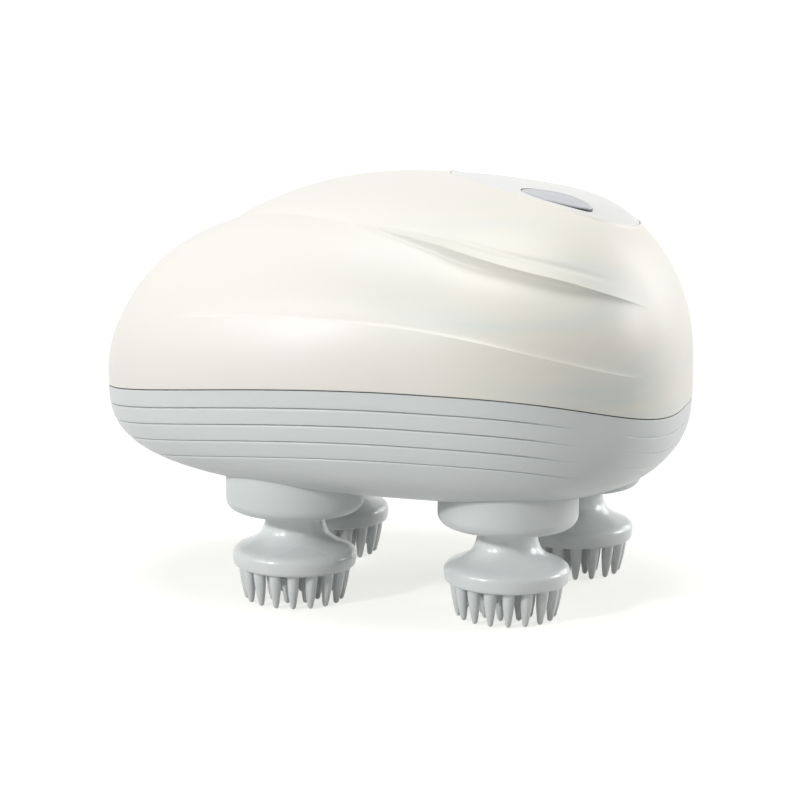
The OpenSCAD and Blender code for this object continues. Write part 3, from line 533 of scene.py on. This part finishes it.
def oval_ring(t, length, width, z):
    return np.stack([length / 2 * spow(np.cos(t), 1.06), width / 2 * spow(np.sin(t), 1.06), z + 0 * t], -1)


def cap_form(ring):
    """The cap's sloped and crowned height at a ring's points."""
    x, y = ring[:, 0], ring[:, 1]
    return CAP_SLOPE * x - (x ** 2 + y ** 2) / (2 * CAP_CURVE)


def make_panel():
    t, edge = ANGLES, 0.22
    rings = [panel_ring(t, w, PANEL_GAP, PANEL_T) for w in (0.9, 0.6, 0.3, 0.1)]
    rings += [panel_ring(t, 0, PANEL_GAP, s) for s in (PANEL_T, PANEL_T - 0.12, 0.4, edge)]
    rings += [panel_ring(t, 0.014 * (1 - math.cos(a)), PANEL_GAP, edge * (1 - math.sin(a)))
              for a in np.linspace(0.1, math.pi / 2, 6)]
    rings += [panel_ring(t, w, PANEL_GAP, 0) for w in np.linspace(0.03, 0.96, 40)]
    middle = on_dome(np.array([PANEL_X]), np.array([PANEL_Y]))[0]
    piece = closed_bowl("panel_leaf", rings, middle - [0, 0, PANEL_T], middle)
    s, gap, low, high = angles(OVAL_TURN), 0.5, -5, 3
    ends = [oval_ring(s, BUTTON_L + gap, BUTTON_W + gap, z) for z in (low, high)]
    cutter = closed_bowl("button_cutter", ends, (0, 0, low), (0, 0, high), OVAL_TURN)
    cutter.data.transform(button_frame())
    return tidy_faces(carve(piece, cutter), 1e-7, CREASE)


def make_button():
    s = angles(OVAL_TURN)
    foot_l, foot_w = BUTTON_L + FOOT_MORE, BUTTON_W / 2
    rings = [oval_ring(s, foot_l * k, foot_w * k, FOOT_LOW) for k in (0.3, 0.7)]
    rings += [oval_ring(s, foot_l, foot_w, z) for z in (FOOT_LOW, FOOT_TOP - 0.02)]
    rings += [oval_ring(s, BUTTON_L, foot_w, FOOT_TOP), oval_ring(s, BUTTON_L, BUTTON_W, FOOT_TOP + 0.02)]

    def cap_ring(k, inset, sink):
        ring = oval_ring(s, (BUTTON_L - inset) * k, (BUTTON_W - inset) * k, CAP_RISE - sink)
        ring[:, 2] += cap_form(ring)
        return ring
    rings += [cap_ring(1, 0, sink) for sink in (0.6, 0.3)]
    rings += [cap_ring(1, 0.5 * (1 - math.cos(a)), 0.28 * (1 - math.sin(a)))
              for a in np.linspace(0.2, math.pi / 2, 6)]
    rings += [cap_ring(k, 0.5, CAP_DISH * smooth((0.93 - k) / 0.2)) for k in np.linspace(0.95, 0.04, 22)]
    piece = closed_bowl("button_cap", rings, (0, 0, FOOT_LOW), (0, 0, CAP_RISE - CAP_DISH), OVAL_TURN)
    join([piece, rod("button_stem", 0.0015, 0.0027, (0, 0, -0.00524), 48)])
    piece.data.transform(button_frame())
    return soften(piece, 35)


def make_gap_shadow_ring():
    """A near-black ring round the cap, just under its rim: painted shadow of the gap round the button."""
    rings = []
    for spare, z in ((0.3, -2.9), (0.4, -0.3), (0.34, 0.05), (-0.8, 0.05), (-0.8, -2.9)):
        ring = oval_ring(ANGLES, BUTTON_L + spare, BUTTON_W + spare, z)
        if z > -1:
            ring[:, 2] += cap_form(ring)
        rings.append(ring)
    piece = closed_shell("button_gap_shadow_ring", rings)
    piece.data.transform(button_frame())
    return piece


# ---- Heads and collars ----------------------------------------------------------------------

def lathe(name, profile, steps):
    """Spins a profile of (radius, height) points, in millimetres, about the Z axis."""
    clear_selection()
    bpy.ops.mesh.primitive_plane_add(size=0.01)
    piece = named(name)
    edit(piece)
    bpy.ops.mesh.select_all(action="SELECT")
    bpy.ops.mesh.merge(type="CENTER")
    r, z = profile[0]
    bpy.ops.transform.translate(value=(r * MM, 0, z * MM))
    for (r0, z0), (r1, z1) in zip(profile, profile[1:]):
        step = ((r1 - r0) * MM, 0, (z1 - z0) * MM)
        bpy.ops.mesh.extrude_region_move(TRANSFORM_OT_translate={"value": step})
    bpy.ops.mesh.select_all(action="SELECT")
    bpy.ops.mesh.spin(steps=steps, angle=2 * math.pi, center=(0, 0, 0), axis=(0, 0, 1))
    leave_edit()
    return tidy_faces(piece, 2e-6)


def bezier(a, b, c, d, n):
    u = np.linspace(0, 1, n)[:, None]
    a, b, c, d = (np.array(p, float) for p in (a, b, c, d))
    v = 1 - u
    return [tuple(p) for p in v ** 3 * a + 3 * v ** 2 * u * b + 3 * v * u * u * c + u ** 3 * d]


RIM_R, RIM_Z, NECK_R, SKIRT_Z = 12.85, 8.85, 6.1, 7.3
OUTER_TEETH, INNER_TEETH, TOOTH_L, OUTER_LEAN = 17, 8, 7.7, 5
# How far the teeth stand from the head's axis, in metres
OUTER_AT, INNER_AT = (0.0097, 0, 0.00001), (0.005, 0, 0)


def curve(r0, z0, points, n):
    """A bezier whose points are given from a radius and a height."""
    return bezier(*[(r0 + r, z0 + z) for r, z in points], n)


def head_profile():
    """From the underside round the rim and up the hollow flank to the neck."""
    return ([(0, SKIRT_Z + 0.3), (6, SKIRT_Z + 0.3), (RIM_R - 1.8, SKIRT_Z + 0.3)]
            + curve(RIM_R, SKIRT_Z, ((-1, 0), (-0.4, 0), (-0.15, 0.3), (-0.1, 0.9)), 9)
            + [(RIM_R - 0.04, RIM_Z - 0.2), (RIM_R, RIM_Z + 0.4)]
            + curve(RIM_R, RIM_Z, ((0, 0.8), (-0.02, 1.6), (-0.5, 2.15), (-1.6, 2.6)), 18)
            + bezier((RIM_R - 1.9, RIM_Z + 2.71), (NECK_R + 3, RIM_Z + 3.5), (NECK_R + 1.2, RIM_Z + 4.3),
                     (NECK_R + 0.5, RIM_Z + 6.2), 20)
            + curve(NECK_R, RIM_Z, ((0.4, 6.55), (0.2, 7.2), (0, 8), (0, 9)), 7)
            + [(NECK_R, 20), (NECK_R, 22.2), (4, 22.2), (4, 9.5), (0, 9.5)])


def tooth_profile(length):
    """A blunt tip that widens slowly to the root."""
    return (bezier((0, 0), (0.4, 0), (0.57, 0.3), (0.65, 0.8), 6)
            + bezier((0.69, 1.1), (0.84, 2), (1, 2.9), (1.08, 3.8), 8)
            + bezier((1.13, 4.3), (1.2, 5.4), (1.28, 6), (1.3, length), 4) + [(0, length)])


def make_head(name):
    rows = [lathe(name, head_profile(), 144)]
    tooth = lathe("tooth", tooth_profile(TOOTH_L), 20)
    lean = Matrix.Rotation(math.radians(OUTER_LEAN), 4, "Y")
    for k in range(OUTER_TEETH):
        turn = Matrix.Rotation((k + 0.5) * 2 * math.pi / OUTER_TEETH, 4, "Z")
        rows.append(copied(tooth, "tooth_outer", turn @ Matrix.Translation(OUTER_AT) @ lean))
    for k in range(INNER_TEETH):
        turn = Matrix.Rotation(k * 2 * math.pi / INNER_TEETH, 4, "Z")
        rows.append(copied(tooth, "tooth_inner", turn @ Matrix.Translation(INNER_AT)))
    bpy.data.objects.remove(tooth, do_unlink=True)
    return soften(join(rows), 40)


def collar_profile():
    """A bored drum with a rounded lower edge."""
    r, bore, low, top, fillet = 14.3, 6.7, 19.1, 31.5, 2.4
    edge = [(r - fillet + fillet * math.sin(a), low + fillet - fillet * math.cos(a))
            for a in np.linspace(0, math.pi / 2, 14)]
    return ([(4, top), (4, 23), (bore, 23), (bore, low + 0.3), (bore + 0.08, low + 0.1), (bore + 0.3, low)]
            + edge + [(r, 26), (r, top - 0.1), (r - 0.1, top), (4, top)])


# ---- Materials ------------------------------------------------------------------------------

def worked(nodes, links, operation, *values):
    """The result of a Math node on sockets and numbers."""
    step = nodes.new("ShaderNodeMath")
    step.operation = operation
    for place, value in zip(step.inputs, values):
        if isinstance(value, (int, float)):
            place.default_value = value
        else:
            links.new(value, place)
    return step.outputs[0]


def noise(nodes, links, where, detail):
    texture = nodes.new("ShaderNodeTexNoise")
    texture.inputs["Detail"].default_value = detail
    links.new(where, texture.inputs["Vector"])
    return texture


def blend(nodes, links, share, first, second):
    """The colour between two colours."""
    both = nodes.new("ShaderNodeMix")
    both.data_type = "RGBA"
    for name, value in (("Factor", share), ("A", first), ("B", second)):
        links.new(value, both.inputs[name])
    return both.outputs["Result"]


def eased_range(nodes, links, value, start, end, low, high):
    """Goes softly from low to high while the value goes from start to end."""
    rise = nodes.new("ShaderNodeMapRange")
    rise.interpolation_type = "SMOOTHSTEP"
    for name, number in (("From Min", start), ("From Max", end), ("To Min", low), ("To Max", high)):
        rise.inputs[name].default_value = number
    links.new(value, rise.inputs["Value"])
    return rise.outputs["Result"]


def moulded_grain():
    """Faint colour drift, roughness drift and a fine moulded bump, on Object coordinates."""
    group = bpy.data.node_groups.new("moulded_grain", "ShaderNodeTree")
    for name, kind, value in (("Color", "Color", (0.8, 0.8, 0.8, 1)), ("Tint", "Color", (0.7, 0.7, 0.7, 1)),
                              ("Drift", "Float", 0.1), ("Roughness", "Float", 0.4),
                              ("Grain", "Float", 1500.0), ("Bump", "Float", 0.05)):
        socket = group.interface.new_socket(name=name, in_out="INPUT", socket_type="NodeSocket" + kind)
        socket.default_value = value
    for name, kind in (("Color", "Color"), ("Roughness", "Float"), ("Normal", "Vector")):
        group.interface.new_socket(name=name, in_out="OUTPUT", socket_type="NodeSocket" + kind)
    nodes, links = group.nodes, group.links
    given, result = nodes.new("NodeGroupInput").outputs, nodes.new("NodeGroupOutput").inputs
    where = nodes.new("ShaderNodeTexCoord").outputs["Object"]
    broad = noise(nodes, links, where, 3)
    broad.inputs["Scale"].default_value = 28
    share = worked(nodes, links, "MULTIPLY", broad.outputs["Fac"], given["Drift"])
    links.new(blend(nodes, links, share, given["Color"], given["Tint"]), result["Color"])
    links.new(worked(nodes, links, "MULTIPLY_ADD", broad.outputs["Fac"], 0.12, given["Roughness"]),
              result["Roughness"])
    fine = noise(nodes, links, where, 2)
    links.new(given["Grain"], fine.inputs["Scale"])
    bump = nodes.new("ShaderNodeBump")
    bump.inputs["Distance"].default_value = 0.0001
    links.new(fine.outputs["Fac"], bump.inputs["Height"])
    links.new(given["Bump"], bump.inputs["Strength"])
    links.new(bump.outputs["Normal"], result["Normal"])
    return group


GRAIN = moulded_grain()


def finish_of(name, color, tint, drift, rough, grain, bump, metal=0.0, coat=0.0, coat_rough=0.1,
              subsurface=0.0):
    material = bpy.data.materials.new(name)
    material.use_nodes = True
    nodes, links = material.node_tree.nodes, material.node_tree.links
    shader = nodes["Principled BSDF"]
    surface = nodes.new("ShaderNodeGroup")
    surface.node_tree = GRAIN
    # The roughness drift adds about 0.06 on average
    for place, value in (("Color", (*color, 1)), ("Tint", (*tint, 1)), ("Drift", drift),
                         ("Roughness", rough - 0.06), ("Grain", grain), ("Bump", bump)):
        surface.inputs[place].default_value = value
    links.new(surface.outputs["Color"], shader.inputs["Base Color"])
    links.new(surface.outputs["Roughness"], shader.inputs["Roughness"])
    links.new(surface.outputs["Normal"], shader.inputs["Normal"])
    shader.inputs["Metallic"].default_value = metal
    shader.inputs["Coat Weight"].default_value = coat
    shader.inputs["Coat Roughness"].default_value = coat_rough
    shader.inputs["IOR"].default_value = 1.46
    if subsurface:
        shader.inputs["Subsurface Weight"].default_value = subsurface
        shader.inputs["Subsurface Scale"].default_value = 0.002
    return material


def pearl_lacquer_with_painted_sheen():
    """Warm white lacquer with a painted iridescent sheen: long streaks of darker mint and rose in its colour.
    """
    material = finish_of("pearl_lacquer_with_painted_sheen", (0.86, 0.84, 0.785), (0.84, 0.83, 0.78), 0.3, 0.44, 2200, 0.012,
                         coat=0.15, coat_rough=0.28)
    nodes, links = material.node_tree.nodes, material.node_tree.links
    surface = next(n for n in nodes if n.type == "GROUP")
    where = nodes.new("ShaderNodeTexCoord").outputs["Object"]
    run = nodes.new("ShaderNodeMapping")
    run.inputs["Rotation"].default_value = (0, math.radians(12), 0)
    run.inputs["Scale"].default_value = (10, 15, 75)
    links.new(where, run.inputs["Vector"])
    # Painted iridescent sheen: noise streaks mapped to darker mint and rose
    painted_sheen_streak = noise(nodes, links, run.outputs["Vector"], 3)
    painted_sheen_streak.inputs["Scale"].default_value = 1.6
    painted_sheen_hue = nodes.new("ShaderNodeValToRGB")
    stops = painted_sheen_hue.color_ramp.elements
    stops[0].position, stops[0].color = 0.34, (0.69, 0.755, 0.715, 1)
    stops[1].position, stops[1].color = 0.68, (0.83, 0.78, 0.71, 1)
    stops.new(0.5).color = (0.81, 0.805, 0.715, 1)
    links.new(painted_sheen_streak.outputs["Fac"], painted_sheen_hue.inputs["Fac"])
    # The painted sheen shows on the side that turns to the blunt end, and its darker tints paint shade there
    part = nodes.new("ShaderNodeSeparateXYZ")
    links.new(where, part.inputs["Vector"])
    reach = eased_range(nodes, links, part.outputs["X"], -0.012, 0.038, 0, 0.62)
    painted_sheen_colour = blend(nodes, links, reach, surface.outputs["Color"], painted_sheen_hue.outputs["Color"])
    links.new(painted_sheen_colour, nodes["Principled BSDF"].inputs["Base Color"])
    return material


def dress(piece, material):
    piece.data.materials.clear()
    piece.data.materials.append(material)


# ---- The massager ---------------------------------------------------------------------------

PEARL = pearl_lacquer_with_painted_sheen()
SHELL_GREY = finish_of("shell_grey", (0.72, 0.75, 0.75), (0.675, 0.705, 0.7), 0.3, 0.4, 2600, 0.03, coat=0.08)
PANEL_GREY = finish_of("panel_grey", (0.81, 0.815, 0.80), (0.77, 0.78, 0.77), 0.3, 0.38, 2600, 0.03, coat=0.1)
BUTTON_GREY = finish_of("button_grey", (0.52, 0.53, 0.56), (0.47, 0.48, 0.51), 0.3, 0.3, 2600, 0.02, coat=0.2)
SILICONE = finish_of("silicone_grey", (0.81, 0.84, 0.84), (0.77, 0.80, 0.80), 0.35, 0.28, 2200, 0.04,
                     coat=0.5, coat_rough=0.12, subsurface=0.06)
# Near-black seal: painted shadow of the gap at the parting line
SEAM_GAP_SHADOW = finish_of("seal_rubber", (0.09, 0.095, 0.1), (0.07, 0.075, 0.08), 0.3, 0.6, 3000, 0.1)
NYLON = finish_of("nylon_gear", (0.70, 0.67, 0.58), (0.64, 0.6, 0.5), 0.4, 0.42, 1800, 0.08, subsurface=0.05)
STEEL = finish_of("turned_steel", (0.58, 0.585, 0.6), (0.5, 0.5, 0.52), 0.4, 0.28, 3200, 0.12, metal=1.0)
BRONZE = finish_of("sintered_bronze", (0.56, 0.39, 0.18), (0.4, 0.27, 0.13), 0.5, 0.42, 3800, 0.3, metal=1.0)
CHASSIS = finish_of("chassis_plastic", (0.035, 0.037, 0.04), (0.05, 0.052, 0.055), 0.5, 0.48, 1900, 0.25)
CELL = finish_of("cell_wrap", (0.04, 0.13, 0.3), (0.05, 0.17, 0.36), 0.4, 0.3, 900, 0.12, coat=0.3)
BOARD = finish_of("solder_mask", (0.02, 0.13, 0.05), (0.03, 0.17, 0.07), 0.4, 0.35, 2400, 0.2, coat=0.3)
# Black of the tact switch, also used for the painted shadow of the gap round the button
BLACK = finish_of("switch_and_gap_shadow_black", (0.02, 0.02, 0.022), (0.03, 0.03, 0.033), 0.4, 0.4, 2400, 0.15)

cover = make_cover()
dress(cover, PEARL)
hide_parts("cover")
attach(cover, "body")

belly = make_belly()
dress(belly, SHELL_GREY)
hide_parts("lower_shell")
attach(belly, "body")

panel = make_panel()
dress(panel, PANEL_GREY)
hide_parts("top_panel")
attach(panel, "body")

button = make_button()
dress(button, BUTTON_GREY)
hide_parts("power_button")
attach(button, "button")

# A near-black ring under the cap's rim: painted shadow of the gap round the button
gap_shadow_ring = make_gap_shadow_ring()
dress(gap_shadow_ring, BLACK)
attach(gap_shadow_ring, "button")

first_head = make_head("massage_head")
first_collar = soften(lathe("collar_ring", collar_profile(), 144), 40)
for corner in CORNERS:
    centre = Matrix.Translation(collar_centre(corner))
    head = copied(first_head, "soft_head_" + corner, centre)
    dress(head, SILICONE)
    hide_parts("head_" + corner)
    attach(head, "massage_head_" + corner)
    collar = copied(first_collar, "collar_ring_" + corner, centre)
    dress(collar, SHELL_GREY)
    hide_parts("collar_" + corner)
    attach(collar, "body")
bpy.data.objects.remove(first_head, do_unlink=True)
bpy.data.objects.remove(first_collar, do_unlink=True)

# The pieces inside keep their solids' meshes
KEPT = {"seam_seal": SEAM_GAP_SHADOW, "gearbox_base": CHASSIS, "gearbox_top": CHASSIS, "battery_tray": CHASSIS,
        "gear_pins": STEEL, "idler_left": NYLON, "idler_right": NYLON, "centre_gear": NYLON, "motor": STEEL,
        "motor_shaft": STEEL, "motor_pinion": BRONZE, "battery": CELL, "switch_board": BOARD,
        "tact_switch": BLACK, "control_board": BOARD, "charge_socket": STEEL, "gearbox_screws": STEEL,
        "cover_screws": STEEL, "board_screws": STEEL}
for corner in CORNERS:
    KEPT.update({"bush_" + corner: BRONZE, "core_" + corner: NYLON, "spindle_" + corner: STEEL,
                 "gear_" + corner: NYLON})
for node, material in KEPT.items():
    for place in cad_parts[node].material_slots:
        place.material = material

# ---- Table, lamps and camera ----------------------------------------------------------------


def seen_rays(nodes, links):
    """One where the camera, a reflection or a clear piece looks at the studio, else nought."""
    ray = nodes.new("ShaderNodeLightPath").outputs
    either = worked(nodes, links, "MAXIMUM", ray["Is Camera Ray"], ray["Is Glossy Ray"])
    return worked(nodes, links, "MAXIMUM", either, ray["Is Transmission Ray"])


def pale_table():
    """A grey that catches the shadow, with a white glow that lights nothing and is only seen."""
    material = bpy.data.materials.new("pale_table")
    material.use_nodes = True
    nodes, links = material.node_tree.nodes, material.node_tree.links
    nodes.clear()
    out = nodes.new("ShaderNodeOutputMaterial")
    matt = nodes.new("ShaderNodeBsdfDiffuse")
    matt.inputs["Color"].default_value = (0.5, 0.5, 0.49, 1)
    glow = nodes.new("ShaderNodeEmission")
    glow.inputs["Color"].default_value = (1, 1, 0.97, 1)
    away = nodes.new("ShaderNodeVectorMath")
    away.operation = "LENGTH"
    links.new(nodes.new("ShaderNodeTexCoord").outputs["Object"], away.inputs[0])
    # The lamps fade with distance, so the far table glows more
    far = eased_range(nodes, links, away.outputs["Value"], 0.15, 1.0, 0.7, 1.0)
    links.new(worked(nodes, links, "MULTIPLY", seen_rays(nodes, links), far), glow.inputs["Strength"])
    both = nodes.new("ShaderNodeAddShader")
    links.new(matt.outputs[0], both.inputs[0])
    links.new(glow.outputs[0], both.inputs[1])
    links.new(both.outputs[0], out.inputs["Surface"])
    return material


clear_selection()
bpy.ops.mesh.primitive_plane_add(size=12, location=(0, 0, 0))
table = named("table")
dress(table, pale_table())

world = bpy.data.worlds.new("studio")
bpy.context.scene.world = world
world.use_nodes = True
nodes, links = world.node_tree.nodes, world.node_tree.links
sky = nodes["Background"].inputs
sky["Color"].default_value = (1, 1, 0.985, 1)
fill = nodes.new("ShaderNodeMapRange")
fill.inputs["To Min"].default_value = 0.18
links.new(seen_rays(nodes, links), fill.inputs["Value"])
links.new(fill.outputs["Result"], sky["Strength"])


def lamp(name, where, aim, size, power):
    data = bpy.data.lights.new(name, "AREA")
    data.shape, data.size, data.energy = "DISK", size, power
    piece = bpy.data.objects.new(name, data)
    bpy.context.scene.collection.objects.link(piece)
    piece.location = where
    piece.rotation_euler = (Vector(aim) - Vector(where)).to_track_quat("-Z", "Y").to_euler()


lamp("key_lamp", (-0.45, -0.78, 0.46), (0, 0, 0.03), 0.12, 4.0)
lamp("left_lamp", (-0.7, -0.55, 0.46), (0, 0, 0.03), 0.2, 1.2)
lamp("top_lamp", (-0.05, -0.05, 1.2), (0, 0, 0.05), 0.8, 7.0)
lamp("rim_lamp", (0.52, 0.74, 0.28), (0.05, 0, 0.05), 0.5, 1.5)
lamp("edge_lamp", (0.85, 0.42, 0.35), (0.05, 0, 0.05), 0.4, 3.3)

CAMERA_AT = (0.16168, -0.58752, 0.15812)
CAMERA_AROUND, CAMERA_ABOVE, CAMERA_ROLL = (math.radians(a) for a in (15.35991, 11.06513, 0.73038))
FOCAL, PICTURE_WIDTH, SENSOR_WIDTH = 2945.99, 800, 36

lens = bpy.data.cameras.new("camera")
camera = bpy.data.objects.new("camera", lens)
bpy.context.scene.collection.objects.link(camera)
# The camera looks level along its first axis, then it is turned round, raised and rolled
level = Matrix.Rotation(CAMERA_AROUND, 4, "Z") @ Matrix.Rotation(math.pi / 2 - CAMERA_ABOVE, 4, "X")
camera.matrix_world = Matrix.Translation(CAMERA_AT) @ level @ Matrix.Rotation(CAMERA_ROLL, 4, "Z")
lens.sensor_width = SENSOR_WIDTH
lens.lens = FOCAL / PICTURE_WIDTH * SENSOR_WIDTH
lens.clip_start = 0.01
bpy.context.scene.camera = camera
bpy.context.scene.view_settings.view_transform = "Standard"
